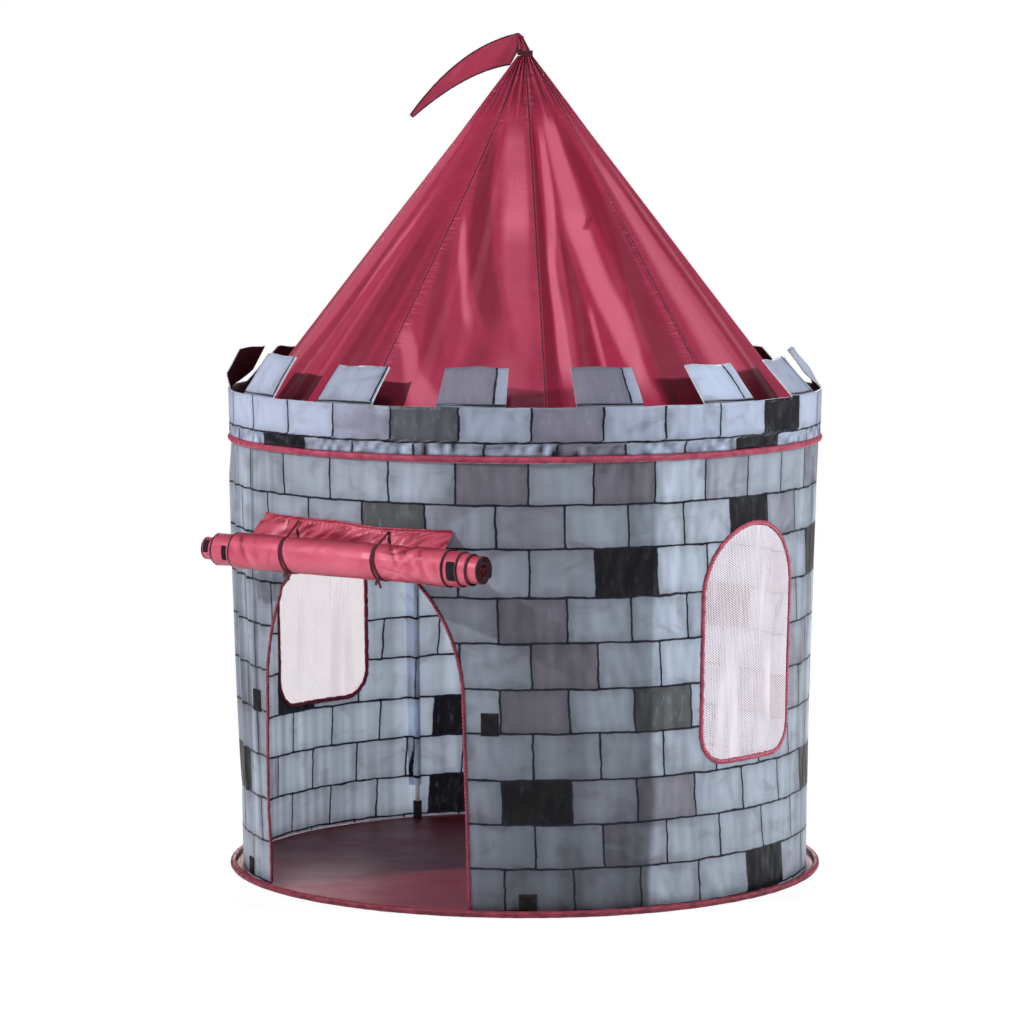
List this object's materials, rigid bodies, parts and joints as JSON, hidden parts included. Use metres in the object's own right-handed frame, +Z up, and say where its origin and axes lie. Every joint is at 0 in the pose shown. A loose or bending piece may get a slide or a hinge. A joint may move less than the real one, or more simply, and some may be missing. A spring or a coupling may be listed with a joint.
{
  "type": "kids play tent",
  "caption": "Round castle play tent with a stone-print wall, conical roof, battlement band, rolled-up door flap, net windows and a pennant.",
  "frame": {"origin": "on the tent's axis, at the underside of the floor sheet", "axes": "+Z up along the axis, -Y out through the doorway, +X to the right seen from in front of the door"},
  "size_m": [1.0036, 1.0532, 1.4078],
  "materials": {
    "burgundy_nylon": "satin woven nylon",
    "printed_nylon": "woven nylon printed with stone blocks",
    "white_net": "fine mosquito net",
    "black_tape": "woven tape",
    "hook_and_loop": "hook-and-loop pile",
    "spring_steel": "bare spring steel",
    "fibreglass": "pultruded rod",
    "black_plastic": "moulded"
  },
  "bodies": {
    "tent": {"floor_sheet": "burgundy_nylon", "base_hoop": "spring_steel", "base_hoop_sleeve": "burgundy_nylon", "top_hoop": "spring_steel", "top_hoop_sleeve": "burgundy_nylon", "wall_door_panel": "printed_nylon", "wall_right_panel": "printed_nylon", "wall_back_panel": "printed_nylon", "wall_left_panel": "printed_nylon", "battlement_band": "printed_nylon", "roof_gore_1": "burgundy_nylon", "roof_gore_2": "burgundy_nylon", "roof_gore_3": "burgundy_nylon", "roof_gore_4": "burgundy_nylon", "roof_gore_5": "burgundy_nylon", "roof_gore_6": "burgundy_nylon", "roof_gore_7": "burgundy_nylon", "roof_gore_8": "burgundy_nylon", "roof_gore_9": "burgundy_nylon", "wall_pole_1": "fibreglass", "wall_pole_2": "fibreglass", "wall_pole_3": "fibreglass", "wall_pole_4": "fibreglass", "pole_elbow_1": "black_plastic", "pole_elbow_2": "black_plastic", "pole_elbow_3": "black_plastic", "pole_elbow_4": "black_plastic", "roof_pole_1": "fibreglass", "roof_pole_2": "fibreglass", "roof_pole_3": "fibreglass", "roof_pole_4": "fibreglass", "pole_foot_1": "black_plastic", "pole_foot_2": "black_plastic", "pole_foot_3": "black_plastic", "pole_foot_4": "black_plastic", "pole_channel_1": "printed_nylon", "pole_channel_2": "printed_nylon", "pole_channel_3": "printed_nylon", "pole_channel_4": "printed_nylon", "apex_hub": "black_plastic", "apex_tie": "black_tape", "apex_tuft": "burgundy_nylon", "window_net_right": "white_net", "window_net_left": "white_net", "window_binding_right": "burgundy_nylon", "window_binding_left": "burgundy_nylon", "door_binding": "burgundy_nylon", "wall_pad_1": "hook_and_loop", "wall_pad_2": "hook_and_loop", "wall_pad_3": "hook_and_loop", "wall_pad_4": "hook_and_loop"},
    "flap": {"flap_header": "burgundy_nylon", "flap_roll": "burgundy_nylon", "flap_tie_left": "black_tape", "flap_tie_right": "black_tape", "flap_pad_left": "hook_and_loop", "flap_pad_right": "hook_and_loop"},
    "pennant": {"pennant": "burgundy_nylon"}
  },
  "joints": [
    {"name": "flap_swing", "type": "hinge", "parent": "tent", "child": "flap", "pos_m": [0, -0.4947, 0.6225], "axis": [-1, 0, 0], "range_deg": [0, 100]},
    {"name": "pennant_swing", "type": "hinge", "parent": "tent", "child": "pennant", "pos_m": [0, 0, 1.38], "axis": [0, 0, 1], "range_deg": [-60, 60]}
  ]
}
